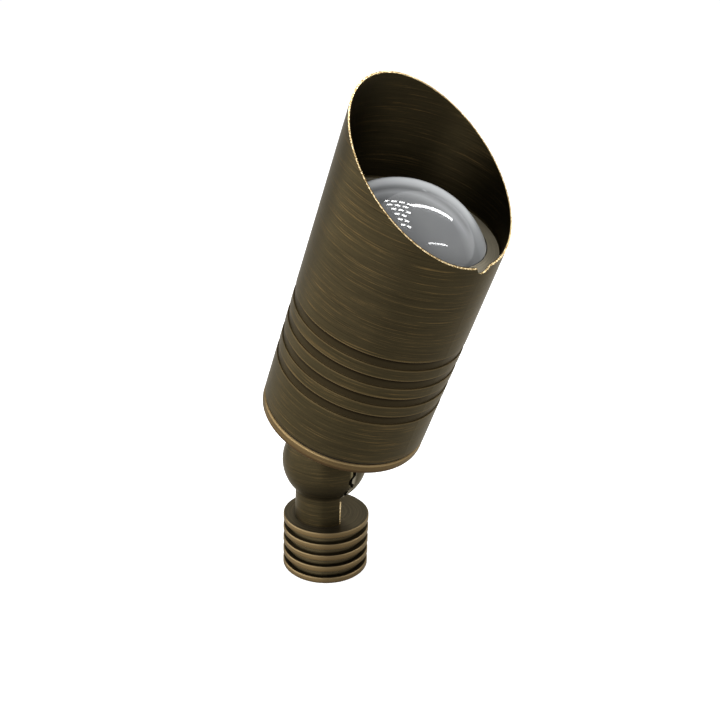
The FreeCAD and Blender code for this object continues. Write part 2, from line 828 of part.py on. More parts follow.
def make_bracket():
    """Bridge of bent sheet over the locknut that carries the lampholder."""
    body = new_body("lampholder_bracket", AT_TUBE)
    sheet_metal = dim("bracket_sheet")
    floor = dim("cap_floor")
    top = dim("bracket_top")
    span = dim("bracket_span")
    foot = dim("bracket_foot")
    outline = new_sketch(body, "XZ_Plane", "strip_outline")
    draw_outline(outline, [
        Corner(-foot, floor),
        Corner(sheet_metal - span, floor),
        Corner(sheet_metal - span, top - sheet_metal),
        Corner(span - sheet_metal, top - sheet_metal),
        Corner(span - sheet_metal, floor),
        Corner(foot, floor),
        Corner(foot, floor + sheet_metal),
        Corner(span, floor + sheet_metal),
        Corner(span, top),
        Corner(-span, top),
        Corner(-span, floor + sheet_metal),
        Corner(-foot, floor + sheet_metal),
    ])
    pad(body, "strip", outline, dim("bracket_width"), both_ways=True)
    screws = new_sketch(body, "XY_Plane", "screw_holes", floor + sheet_metal)
    for side in (-1, 1):
        draw_circle(screws, dim("bracket_screw_offset") * side, 0, dim("bracket_screw_radius") + gap)
    pocket(body, "screw_bores", screws, sheet_metal)
    leads = new_sketch(body, "XY_Plane", "lead_hole_outline", top)
    draw_circle(leads, 0, 0, dim("stud_bore"))
    pocket(body, "lead_hole", leads, sheet_metal)
    return body


def make_bracket_screws():
    """Two pan-head screws through the bracket's feet into the rear cap."""
    foot_top = dim("cap_floor") + dim("bracket_sheet")
    screws = []
    for number, side in enumerate((-1, 1), start=1):
        across = dim("bracket_screw_offset") * side
        shank_length = dim("bracket_screw_length") + dim("bracket_sheet")
        shank = cylinder(f"bracket_shank_{number}", dim("bracket_screw_radius"), shank_length,
                         (across, 0, foot_top - shank_length))
        head = cylinder(f"bracket_head_{number}", dim("bracket_head_radius"), dim("bracket_head_height"),
                        (across, 0, foot_top))
        screw = doc.addObject("Part::Fuse", f"bracket_screw_{number}")
        screw.Base = shank
        screw.Tool = head
        screws.append(screw)
    fasteners = group("bracket_screws", screws)
    fasteners.Placement = AT_TUBE
    return fasteners


def make_lampholder():
    """Ceramic two-pin lampholder with a blind bore for each contact."""
    body = new_body("lampholder", AT_TUBE)
    half_length = dim("holder_length") / 2
    half_width = dim("holder_width") / 2
    corner = dim("holder_corner")
    outline = new_sketch(body, "XY_Plane", "block_outline", dim("bracket_top"))
    draw_outline(outline, [
        Corner(corner - half_length, -half_width, free="y"),
        Corner(half_length - corner, -half_width, bow=(half_length - corner, corner - half_width)),
        Corner(half_length, corner - half_width, free="x"),
        Corner(half_length, half_width - corner, bow=(half_length - corner, half_width - corner)),
        Corner(half_length - corner, half_width, free="y"),
        Corner(corner - half_length, half_width, bow=(corner - half_length, half_width - corner)),
        Corner(-half_length, half_width - corner, free="x"),
        Corner(-half_length, corner - half_width, bow=(corner - half_length, corner - half_width)),
    ])
    pad(body, "block", outline, dim("holder_height"))
    bores = new_sketch(body, "XY_Plane", "contact_bores_outline", dim("bracket_top") + dim("holder_height"))
    for side in (-1, 1):
        draw_circle(bores, dim("pin_spacing") / 2 * side, 0, dim("contact_radius") + gap)
    pocket(body, "contact_bores", bores, dim("holder_height") - dim("holder_floor"))
    return body


def make_contacts():
    """Two sprung contact sleeves inside the lampholder."""
    bottom = dim("bracket_top") + dim("holder_floor") + END_SPARE
    top = dim("bracket_top") + dim("holder_height") - END_SPARE
    sleeves = []
    for number, side in enumerate((-1, 1), start=1):
        sleeve = ring(f"contact_sleeve_{number}", dim("contact_radius"),
                      dim("contact_radius") - dim("contact_wall"), bottom, top)
        seat(sleeve, (dim("pin_spacing") / 2 * side, 0, bottom))
        sleeves.append(sleeve)
    contacts = group("lampholder_contacts", sleeves)
    contacts.Placement = AT_TUBE
    return contacts


def make_leads():
    """The two leads between the lampholder and the seal in the knuckle's stud."""
    bottom = dim("stud_top") - dim("tube_start")
    leads = []
    for name, side in (("left", -1), ("right", 1)):
        lead = cylinder(f"lamp_lead_{name}", dim("lead_radius"), dim("bracket_top") - bottom,
                        (dim("lead_spacing") / 2 * side, 0, bottom), AT_TUBE)
        lead.Label = f"lamp_lead_{name}"
        leads.append(lead)
    return leads


# ---------------------------------------------------------------- plug-in lamp

def make_lamp_pins():
    """The lamp's two contact pins."""
    pins = []
    for number, side in enumerate((-1, 1), start=1):
        pins.append(cylinder(f"lamp_pin_{number}", dim("pin_radius"), dim("pin_length"),
                             (dim("pin_spacing") / 2 * side, 0, dim("lamp_bottom") - dim("pin_length"))))
    pair = group("lamp_pins", pins)
    pair.Placement = AT_TUBE
    return pair


def make_lamp_base():
    """Moulded base block of the lamp, between its pins and its reflector."""
    body = new_body("lamp_base", AT_TUBE)
    half_length = dim("lamp_base_length") / 2
    half_width = dim("lamp_base_width") / 2
    bevel = dim("lamp_base_bevel")
    outline = new_sketch(body, "XY_Plane", "block_outline", dim("lamp_bottom"))
    draw_outline(outline, [
        Corner(bevel - half_length, -half_width),
        Corner(half_length - bevel, -half_width),
        Corner(half_length, bevel - half_width),
        Corner(half_length, half_width - bevel),
        Corner(half_length - bevel, half_width),
        Corner(bevel - half_length, half_width),
        Corner(-half_length, half_width - bevel),
        Corner(-half_length, bevel - half_width),
    ])
    pad(body, "block", outline, dim("lamp_base_height"))
    return body


def make_lamp_reflector():
    """Bell-shaped reflector body with a rolled front rim, open to the front."""
    body = new_body("lamp_reflector", AT_TUBE)
    bottom = dim("lamp_bottom") + dim("lamp_base_height")
    throat = dim("lamp_throat")
    wall = dim("lamp_wall")
    offset = dim("lamp_bow_offset")
    centre_height = dim("lamp_rim_bottom") - wall
    rise = centre_height - bottom
    outer_bow = root((throat + offset) * (throat + offset) + rise * rise)
    inner_bow = outer_bow - wall
    outer_rim = outer_bow - offset
    inner_rim = inner_bow - offset
    floor_rise = rise - dim("lamp_floor")
    inner_throat = root(inner_bow * inner_bow - floor_rise * floor_rise) - offset
    turn(body, "bell", "XZ_Plane", [
        Corner(0, bottom),
        Corner(throat, bottom, bow=(-offset, centre_height)),
        Corner(outer_rim, centre_height, free="x"),
        Corner(outer_rim, dim("lamp_rim_bottom")),
        Corner(dim("lamp_rim_radius"), dim("lamp_rim_bottom")),
        Corner(dim("lamp_rim_radius"), dim("lamp_top")),
        Corner(inner_rim, dim("lamp_top")),
        Corner(inner_rim, centre_height, bow=(-offset, centre_height)),
        Corner(inner_throat, centre_height - floor_rise, free="x"),
        Corner(0, centre_height - floor_rise),
    ])
    return body


def make_lamp_optic():
    """Front optic of the lamp, a thin disc inside the reflector's rim."""
    body = new_body("lamp_optic", AT_TUBE)
    wall = dim("lamp_wall")
    offset = dim("lamp_bow_offset")
    rise = dim("lamp_rim_bottom") - wall - dim("lamp_bottom") - dim("lamp_base_height")
    throat = dim("lamp_throat") + offset
    radius = root(throat * throat + rise * rise) - wall - offset - gap
    top = dim("lamp_top") - dim("optic_inset")
    turn(body, "disc", "XZ_Plane", [
        Corner(0, top - dim("optic_height")),
        Corner(radius, top - dim("optic_height")),
        Corner(radius, top),
        Corner(0, top),
    ])
    return body


def make_lamp_board():
    """Light source board on the reflector's floor."""
    bottom = dim("lamp_bottom") + dim("lamp_base_height") + dim("lamp_floor")
    board = cylinder("lamp_board", dim("board_radius"), dim("board_height"), (0, 0, bottom), AT_TUBE)
    board.Label = "lamp_board"
    return board


# ---------------------------------------------------------------- front housing and lens

def make_housing():
    """Tube with four ring grooves, lens ledge, slant-cut cowl and a weep notch at its low point."""
    body = new_body("front_housing", AT_TUBE)
    outer = dim("housing_radius")
    foot = dim("tube_foot")
    top = dim("cowl_high") + OVERSHOOT
    cowl = outer - dim("cowl_wall")
    corner = dim("ledge_corner")
    turn(body, "turning", "XZ_Plane", [
        Corner(dim("tube_bore"), foot),
        Corner(outer - dim("tube_edge"), foot),
        Corner(outer, foot + dim("tube_edge_height")),
        Corner(outer, top),
        Corner(cowl, top),
        Corner(cowl, dim("ledge_top") + corner),
        Corner(cowl - corner, dim("ledge_top")),
        Corner(dim("ledge_bore"), dim("ledge_top")),
        Corner(dim("ledge_bore"), dim("ledge_bottom")),
        Corner(dim("tube_bore"), dim("ledge_bottom")),
    ])
    floor = outer - dim("groove_depth")
    lip = dim("groove_lip")
    low = dim("groove_first")
    high = low + dim("groove_width")
    groove = turn(body, "groove", "XZ_Plane", [
        Corner(floor, low),
        Corner(outer - lip, low),
        Corner(outer + lip, low - lip * 2),
        Corner(outer + lip, high + lip * 2),
        Corner(outer - lip, high),
        Corner(floor, high),
    ], cut=True)
    repeat_along(body, "grooves", groove, "Z_Axis", dim("groove_pitch"), dim("groove_count"))

    fall = (dim("cowl_high") - dim("cowl_low")) / (outer * 2)
    reach = outer + OVERSHOOT
    over = dim("cowl_high") + OVERSHOOT * 2
    slant = draw_outline(new_sketch(body, "XZ_Plane", "slant_outline"), [
        Corner(-reach, dim("cowl_high") + fall * OVERSHOOT),
        Corner(reach, dim("cowl_low") - fall * OVERSHOOT),
        Corner(reach, over),
        Corner(-reach, over),
    ])
    pocket(body, "slant", slant, reach * 2, both_ways=True)

    notch = new_sketch(body, "YZ_Plane", "notch_outline")
    draw_circle(notch, 0, dim("notch_floor") + dim("notch_radius"), dim("notch_radius"))
    pocket(body, "notch", notch, outer + OVERSHOOT, along_normal=True)
    return body


def make_lens():
    """Domed glass lens: a flange under the ledge, a short barrel and a hollow dome."""
    body = new_body("lens_dome", AT_TUBE)
    radius = dim("lens_radius")
    dome = dim("lens_dome")
    sphere = (radius * radius + dome * dome) / (dome * 2)
    centre = dim("ledge_top") + dome - sphere
    inner = sphere - dim("lens_wall")
    inner_rise = dim("ledge_top") - centre
    inner_radius = root(inner * inner - inner_rise * inner_rise)
    turn(body, "turning", "XZ_Plane", [
        Corner(0, centre + sphere, bow=(0, centre)),
        Corner(radius, dim("ledge_top"), free="x"),
        Corner(radius, dim("lens_flange_top")),
        Corner(dim("lens_flange_radius"), dim("lens_flange_top")),
        Corner(dim("lens_flange_radius"), dim("lens_flange_bottom")),
        Corner(inner_radius, dim("lens_flange_bottom")),
        Corner(inner_radius, dim("ledge_top"), bow=(0, centre)),
        Corner(0, centre + inner, free="y"),
    ])
    return body


def make_lens_gasket():
    return ring("lens_gasket", dim("lens_flange_radius"), dim("ledge_bore"),
                dim("lens_flange_top"), dim("ledge_bottom"), AT_TUBE)


def make_lens_retainer():
    """Threaded ring that presses the lens up against its gasket, with two spanner slots."""
    body = new_body("lens_retainer", AT_TUBE)
    bottom = dim("retainer_bottom")
    turn(body, "turning", "XZ_Plane", [
        Corner(dim("retainer_bore"), bottom),
        Corner(dim("tube_bore") - gap, bottom),
        Corner(dim("tube_bore") - gap, dim("lens_flange_bottom")),
        Corner(dim("retainer_bore"), dim("lens_flange_bottom")),
    ])
    half = dim("locknut_slot") / 2
    reach = dim("tube_bore") + OVERSHOOT
    slot = draw_outline(new_sketch(body, "XY_Plane", "slot_outline", bottom), [
        Corner(-reach, -half),
        Corner(reach, -half),
        Corner(reach, half),
        Corner(-reach, half),
    ])
    pocket(body, "slots", slot, half, along_normal=True)
    return body


def make_housing_gasket():
    """Square-section gasket in the dark gap between the tube and the cap's ring."""
    return ring("housing_gasket", dim("gasket_radius"), dim("tube_bore") + gap,
                dim("cap_ring_top"), dim("tube_foot") - gap, AT_TUBE)


# ---------------------------------------------------------------- build, check and write

nodes = [make_hub(), make_stem_seal()]
nodes += [make_knuckle_base(), make_spring_washer(), make_locknut()]
nodes += [make_lock_washer(), make_knuckle_screw()]
nodes += [make_knuckle_head(), make_knuckle_seal(), make_rear_cap(), make_cap_seal(), make_cap_nut()]
nodes += [make_lead_seal(), make_bracket(), make_bracket_screws(), make_lampholder(), make_contacts()]
nodes += make_leads()
nodes += [make_lamp_pins(), make_lamp_base(), make_lamp_reflector(), make_lamp_board(), make_lamp_optic()]
nodes += [make_housing_gasket()]
nodes += [make_housing(), make_lens(), make_lens_gasket(), make_lens_retainer()]

doc.recompute()

for item in doc.Objects:
    if "Invalid" in item.State or "Error" in item.State:
        raise RuntimeError(f"{item.Label} did not build: {item.State}")
for node in nodes:
    if node.Shape.isNull() or not node.Shape.isValid():
        raise RuntimeError(f"{node.Label} has no valid shape")

for node in nodes:
    node.Shape.exportStep(f"parts/{node.Label}.step")
    box = node.Shape.BoundBox
    reach = "  ".join(f"{low:7.2f} {high:7.2f}" for low, high in (
        (box.XMin, box.XMax), (box.YMin, box.YMax), (box.ZMin, box.ZMax)))
    print(f"{node.Label:22s} {len(node.Shape.Solids)} solids {node.Shape.Volume:9.1f} mm3  {reach}")
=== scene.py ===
"""Looks of the brass garden spotlight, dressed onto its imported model."""
import json
import math

import bpy
from mathutils import Matrix, Quaternion, Vector

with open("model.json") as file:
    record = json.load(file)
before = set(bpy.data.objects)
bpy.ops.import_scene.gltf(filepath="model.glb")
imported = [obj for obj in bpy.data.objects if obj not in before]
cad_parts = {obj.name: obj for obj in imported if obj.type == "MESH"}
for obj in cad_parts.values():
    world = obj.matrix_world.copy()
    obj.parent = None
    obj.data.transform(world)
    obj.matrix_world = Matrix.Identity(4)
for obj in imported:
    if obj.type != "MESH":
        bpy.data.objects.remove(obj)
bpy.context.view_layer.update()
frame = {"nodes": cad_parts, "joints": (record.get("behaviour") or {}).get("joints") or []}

MM = 0.001

# ---------------------------------------------------------------- places taken from the frame

joints = {joint["name"]: joint for joint in frame["joints"]}
HUB_AXIS = Vector((0, 0, 1))
PIN_AXIS = Vector(joints["tilt"]["axis"])
PIVOT = Vector(joints["tilt"]["pos_m"])
LAMP_AXIS = Vector(joints["housing_unscrew"]["axis"]).normalized()
TUBE_FOOT = Vector(joints["housing_unscrew"]["pos_m"])


# ---------------------------------------------------------------- camera

CAMERA_PLACE = Vector((0.233328, -0.224455, 0.210856))
CAMERA_FORWARD = Vector((-0.64904, 0.66802, -0.36399))
CAMERA_ROLL = math.radians(-2.0)
CAMERA_LENS = 48.235
CAMERA_SENSOR = 36.0
CAMERA_NEAR = 10 * MM


def make_camera():
    camera = bpy.data.cameras.new("photo_camera")
    camera.lens = CAMERA_LENS
    camera.sensor_width = CAMERA_SENSOR
    camera.clip_start = CAMERA_NEAR
    camera.dof.use_dof = False
    holder = bpy.data.objects.new("photo_camera", camera)
    turned = Quaternion(CAMERA_FORWARD, CAMERA_ROLL) @ CAMERA_FORWARD.to_track_quat("-Z", "Y")
    holder.rotation_mode = "QUATERNION"
    holder.rotation_quaternion = turned
    holder.location = CAMERA_PLACE
    bpy.context.scene.collection.objects.link(holder)
    bpy.context.scene.camera = holder


# ---------------------------------------------------------------- shader nodes

def add(tree, kind, values=None, **settings):
    """Add a shader node; a value that is a socket is linked, and any other is set."""
    item = tree.nodes.new(kind)
    for name, value in settings.items():
        setattr(item, name, value)
    for key, value in (values or {}).items():
        socket = item.inputs[key]
        if isinstance(value, bpy.types.NodeSocket):
            tree.links.new(value, socket)
        else:
            socket.default_value = value
    return item


def math_node(tree, operation, *values):
    return add(tree, "ShaderNodeMath", dict(enumerate(values)), operation=operation).outputs[0]


def vector_node(tree, operation, *values, output=0, **extra):
    """A vector operation; its second output holds the lengths and dot products."""
    slots = {**dict(enumerate(values)), **extra}
    return add(tree, "ShaderNodeVectorMath", slots, operation=operation).outputs[output]


def dot(tree, first, second):
    return vector_node(tree, "DOT_PRODUCT", first, tuple(second), output=1)


def smooth_step(tree, value, low, high):
    """0 below low, 1 above high, and smooth between; low may be the larger one."""
    return add(tree, "ShaderNodeMapRange",
               {"Value": value, "From Min": low, "From Max": high, "To Min": 0.0, "To Max": 1.0},
               interpolation_type="SMOOTHSTEP").outputs[0]


def spread(tree, value, low, high):
    """Stretch a value from 0 to 1 over the span from low to high."""
    return add(tree, "ShaderNodeMapRange", {"Value": value, "To Min": low, "To Max": high}).outputs[0]


def all_of(tree, *masks):
    """The product of several masks."""
    share = masks[0]
    for mask in masks[1:]:
        share = math_node(tree, "MULTIPLY", share, mask)
    return share


def blend_colour(tree, share, first, second, how="MIX"):
    return add(tree, "ShaderNodeMix", {0: share, 6: first, 7: second},
               data_type="RGBA", blend_type=how).outputs[2]


def blend_number(tree, share, first, second):
    return add(tree, "ShaderNodeMix", {0: share, 2: first, 3: second}, data_type="FLOAT").outputs[0]


def noise(tree, vector, scale, detail=2.0, roughness=0.5):
    return add(tree, "ShaderNodeTexNoise",
               {"Vector": vector, "Scale": scale, "Detail": detail, "Roughness": roughness}).outputs[0]


def ramp(tree, value, stops):
    """A colour ramp with (position, colour) stops."""
    item = add(tree, "ShaderNodeValToRGB", {"Fac": value})
    points = item.color_ramp.elements
    while len(points) < len(stops):
        points.new(0.5)
    for point, (position, colour) in zip(points, stops):
        point.position = position
        point.color = colour
    return item.outputs["Color"]


def stain(tree, colour, value, stops):
    """Multiply a colour by a ramp."""
    return blend_colour(tree, 1.0, colour, ramp(tree, value, stops), "MULTIPLY")


def relief(tree, height, strength):
    return add(tree, "ShaderNodeBump",
               {"Height": height, "Strength": strength, "Distance": 0.1 * MM}).outputs[0]


def new_material(name):
    material = bpy.data.materials.new(name)
    material.use_nodes = True
    material.node_tree.nodes.clear()
    return material, material.node_tree


def finish_material(material, **values):
    """Close a material with one Principled shader."""
    tree = material.node_tree
    names = {key.replace("_", " "): value for key, value in values.items()}
    shader = add(tree, "ShaderNodeBsdfPrincipled", names)
    add(tree, "ShaderNodeOutputMaterial", {"Surface": shader.outputs[0]})
    return material


def srgb(red, green, blue):
    """A display colour from 0 to 255 as a linear one."""
    shown = [part / 255 for part in (red, green, blue)]
    linear = [part / 12.92 if part <= 0.04045 else ((part + 0.055) / 1.055) ** 2.4 for part in shown]
    return (*linear, 1.0)


def grey(level):
    return (level, level, level, 1.0)


# ---------------------------------------------------------------- aged brass

AGED = {"dark": srgb(33, 28, 17), "middle": srgb(47, 41, 27), "light": srgb(94, 76, 47)}
# the next palette, for the cowl's ledge, is pale grey: partly the ledge's own colour and partly painted
# light
PALE_LEDGE = {"dark": srgb(98, 92, 78), "middle": srgb(122, 116, 100), "light": srgb(148, 138, 116)}
TAN = {"dark": srgb(62, 50, 32), "middle": srgb(78, 64, 42), "light": srgb(112, 93, 62)}
GREYED = {"dark": srgb(42, 38, 29), "middle": srgb(56, 51, 39), "light": srgb(96, 86, 64)}

# a painted highlight for the groove lips
LIP_PAINTED_HIGHLIGHT = srgb(84, 71, 47)
RIB_EDGE = srgb(122, 105, 76)
# a painted highlight for the cap ring's upper edge, and painted shade for its underside
RING_PAINTED_HIGHLIGHT = srgb(126, 107, 75)
RING_PAINTED_SHADE = srgb(54, 40, 24)
# painted shade for the inside of the cowl
COWL_PAINTED_SHADE = srgb(12, 10, 5)
# painted shade for the lower half of the ball
BALL_PAINTED_SHADE = srgb(14, 11, 6)
BALL_WORN = srgb(122, 112, 82)
TEETH_WORN = srgb(122, 116, 102)
EDGE_TINT = (0.80, 0.76, 0.68, 1.0)
BRASS_ROUGHNESS = (0.40, 0.54)
BRASS_RELIEF = 0.15
BRUSHING = 0.8

# "along" is how many streaks lie side by side in a metre, and 1 / "across" about how long one is
LINES = {"across": 45, "along": 2700, "detail": 4.0, "roughness": 0.72}
HAIRS = {"across": 70, "along": 5200, "detail": 2.0}
BANDS = {"across": 18, "along": 420, "detail": 2.0}
CLOUD_SCALE = 30.0
SPECK_SCALE = 2200.0
LEVEL_FADE = 0.2 * MM


class TurnedSpace:
    """Coordinates of a piece that was turned and brushed round one axis."""

    def __init__(self, tree, origin, axis):
        coordinates = add(tree, "ShaderNodeTexCoord")
        self.tree = tree
        self.axis = tuple(axis)
        self.normal = coordinates.outputs["Normal"]
        self.place = vector_node(tree, "SUBTRACT", coordinates.outputs["Object"], tuple(origin))
        self.along = dot(tree, self.place, self.axis)
        foot = vector_node(tree, "SCALE", self.axis, Scale=self.along)
        self.outward = vector_node(tree, "SUBTRACT", self.place, foot)
        self.radius = vector_node(tree, "LENGTH", self.outward, output=1)
        direction = vector_node(tree, "NORMALIZE", self.outward)
        self.up = dot(tree, self.normal, self.axis)
        facing_out = vector_node(tree, "DOT_PRODUCT", self.normal, direction, output=1)
        self.side = math_node(tree, "ABSOLUTE", facing_out)
        self.flat = smooth_step(tree, math_node(tree, "ABSOLUTE", self.up), 0.6, 0.8)

    def along_step(self, low, high):
        """A smooth step between two heights along the axis."""
        return smooth_step(self.tree, self.along, low, high)

    def radius_step(self, low, high):
        return smooth_step(self.tree, self.radius, low, high)

    def upward(self, low, high):
        """A smooth step on how far the surface faces along the axis."""
        return smooth_step(self.tree, self.up, low, high)

    def level(self, height, within):
        """1 near a height along the axis, and 0 farther off."""
        above = self.along_step(height - within - LEVEL_FADE, height - within)
        below = self.along_step(height + within + LEVEL_FADE, height + within)
        return all_of(self.tree, above, below)

    def streaks(self, across, along, detail, roughness=0.5):
        """Noise drawn out round the axis: lines 1/along apart that last about 1/across."""
        tree = self.tree
        fields = []
        for distance in (self.along, self.radius):
            stretched = math_node(tree, "MULTIPLY", distance, along)
            drawn = vector_node(tree, "SCALE", self.axis, Scale=stretched)
            round_about = vector_node(tree, "SCALE", self.outward, Scale=across)
            vector = vector_node(tree, "ADD", drawn, round_about)
            fields.append(noise(tree, vector, 1.0, detail, roughness))
        return blend_number(tree, self.flat, *fields)

    def phase(self, start, pitch):
        """0 to 1 along each step of a row of grooves or ribs."""
        above_start = math_node(self.tree, "SUBTRACT", self.along, start)
        return math_node(self.tree, "FRACT", math_node(self.tree, "DIVIDE", above_start, pitch))

    def grain(self):
        """The way across the brushing, in which its highlights are drawn out."""
        across = add(self.tree, "ShaderNodeMix", {0: self.flat, 4: self.axis, 5: self.outward},
                     data_type="VECTOR").outputs[1]
        return add(self.tree, "ShaderNodeVectorTransform", {"Vector": across}, vector_type="VECTOR",
                   convert_from="OBJECT", convert_to="WORLD").outputs[0]


def brushed_colour(space, dark, middle, light):
    """Aged brass with fine lines, broad soft bands and a cloudy patina, and those lines alone."""
    tree = space.tree
    lines = space.streaks(**LINES)
    hairs = space.streaks(**HAIRS)
    bands = space.streaks(**BANDS)
    clouds = noise(tree, space.place, CLOUD_SCALE, 3.0)
    colour = ramp(tree, lines, [(0.30, dark), (0.46, middle), (0.56, middle), (0.74, light)])
    colour = stain(tree, colour, hairs, [(0.3, (0.86, 0.86, 0.87, 1)), (0.7, (1.14, 1.13, 1.10, 1))])
    colour = stain(tree, colour, bands, [(0.3, (0.92, 0.92, 0.92, 1)), (0.7, (1.08, 1.08, 1.07, 1))])
    colour = stain(tree, colour, clouds, [(0.35, (0.94, 0.94, 0.95, 1)), (0.65, (1.05, 1.05, 1.03, 1))])
    return colour, lines


def start_brass(name, origin, axis, palette=AGED):
    """A new material with its turned space, its brushed colour and the lines in that."""
    material, tree = new_material(name)
    space = TurnedSpace(tree, origin, axis)
    colour, lines = brushed_colour(space, **palette)
    return material, space, colour, lines


def close_brass(material, space, colour, lines, metallic=1.0):
    tree = space.tree
    return finish_material(material, Base_Color=colour, Metallic=metallic,
                           Roughness=spread(tree, lines, *BRASS_ROUGHNESS), Anisotropic=BRUSHING,
                           Specular_Tint=EDGE_TINT, Tangent=space.grain(),
                           Normal=relief(tree, lines, BRASS_RELIEF))


def shaded(tree, mask, colour, other, share):
    """Lay a share of another colour over the first where the mask is."""
    return blend_colour(tree, math_node(tree, "MULTIPLY", mask, share), colour, other)


def bare_metal(space):
    """Worn edge with small bright and dull specks."""
    specks = noise(space.tree, space.place, SPECK_SCALE, 1.0)
    return ramp(space.tree, specks, [(0.36, srgb(128, 106, 70)), (0.5, srgb(186, 161, 115)),
                                     (0.66, srgb(244, 226, 186))])


# Heights on the tube and the cap count from the tube's foot. The first groove starts at
# GROOVE_FIRST, and the last one ends below GROOVE_ZONE.
HOUSING_RADIUS = 30.0 * MM
COWL_BORE = HOUSING_RADIUS - 0.7 * MM
GROOVE_FIRST = 17.15 * MM
GROOVE_PITCH = 7.633 * MM
GROOVE_WIDTH = 3.35 * MM
GROOVE_FLOOR = HOUSING_RADIUS - 0.45 * MM
GROOVE_ZONE = 44.0 * MM
LEDGE_TOP = 75.3 * MM
LEDGE_METALLIC = 0.35
RIM_START = LEDGE_TOP + 1.0 * MM


def groove_colour(space, colour):
    """Groove floors darkened with painted shade that is deepest below the upper wall, and painted
    highlights on the lips.
    """
    tree = space.tree
    phase = space.phase(GROOVE_FIRST, GROOVE_PITCH)
    end = GROOVE_WIDTH / GROOVE_PITCH
    outer = space.radius_step(GROOVE_FLOOR - 0.3 * MM, GROOVE_FLOOR - 0.1 * MM)
    sunk = space.radius_step(HOUSING_RADIUS - 0.12 * MM, GROOVE_FLOOR + 0.1 * MM)
    low = space.along_step(GROOVE_ZONE + 0.5 * MM, GROOVE_ZONE)
    # painted shade: the groove floors are dark, and darkest just below the upper wall
    floor = ramp(tree, phase, [(0.0, srgb(62, 52, 34)), (0.06, srgb(40, 34, 22)),
                               (end * 0.6, srgb(38, 32, 20)), (end * 0.85, srgb(20, 15, 8)),
                               (end, srgb(14, 10, 5))])
    colour = blend_colour(tree, all_of(tree, outer, low, sunk), colour, floor)
    # painted highlight: lighter bands on the lips, just above and just below each groove
    below, above = grey(0.55), grey(0.7)
    none = grey(0.0)
    lip_highlight = ramp(tree, phase, [(0.0, below), (0.015, none), (end - 0.01, none), (end + 0.01, above),
                             (end + 0.05, above), (end + 0.08, none), (0.93, none), (0.96, below)])
    raised = math_node(tree, "SUBTRACT", 1.0, sunk)
    first = space.along_step(GROOVE_FIRST - 0.8 * MM, GROOVE_FIRST - 0.6 * MM)
    last = space.along_step(GROOVE_ZONE - 0.1 * MM, GROOVE_ZONE - 0.3 * MM)
    return blend_colour(tree, all_of(tree, lip_highlight, raised, first, last, outer), colour, LIP_PAINTED_HIGHLIGHT)


def cowl_colour(space, colour, ledge):
    """A pale grey ledge, partly its own colour and partly painted light, painted shade on the inside and
    bare metal on the cut edge.
    """
    tree = space.tree
    # the ledge's pale grey is partly painted light
    colour = blend_colour(tree, ledge, colour, brushed_colour(space, **PALE_LEDGE)[0])
    # painted shade: the inside of the cowl is darkened
    shaded_inside = all_of(tree, space.radius_step(COWL_BORE + 0.15 * MM, COWL_BORE + 0.05 * MM),
                   space.along_step(LEDGE_TOP + 0.2 * MM, LEDGE_TOP + 0.4 * MM))
    colour = shaded(tree, shaded_inside, colour, COWL_PAINTED_SHADE, share=0.33)
    edge = all_of(tree, smooth_step(tree, space.side, 0.85, 0.65),
                  space.along_step(RIM_START, RIM_START + 0.2 * MM),
                  space.radius_step(COWL_BORE + 0.12 * MM, COWL_BORE + 0.24 * MM))
    return blend_colour(tree, edge, colour, bare_metal(space))


def housing_brass():
    """The tube with its grooves, and the cowl with its ledge."""
    material, space, colour, lines = start_brass("housing_brass", TUBE_FOOT, LAMP_AXIS)
    ledge = all_of(space.tree, space.upward(0.8, 0.95), space.level(LEDGE_TOP, within=0.2 * MM))
    colour = groove_colour(space, colour)
    colour = cowl_colour(space, colour, ledge)
    metallic = blend_number(space.tree, ledge, 1.0, LEDGE_METALLIC)
    return close_brass(material, space, colour, lines, metallic)


HUB_RADIUS = 16.35 * MM
HUB_GROOVE_FLOOR = 14.35 * MM
HUB_TOP = joints["swivel"]["pos_m"][2]
HUB_RIB = 2.3 * MM
HUB_GROOVES = 4
HUB_RIB_PITCH = (HUB_TOP - HUB_RIB) / HUB_GROOVES


def dusty_top(space, colour, lines):
    """Grey the flat top of the hub and the end of the stem that lies in it."""
    tree = space.tree
    top = all_of(tree, space.upward(0.9, 0.97), space.level(HUB_TOP, within=0.1 * MM))
    dust = ramp(tree, lines, [(0.3, srgb(54, 49, 38)), (0.7, srgb(88, 80, 63))])
    return shaded(tree, top, colour, dust, share=0.7)


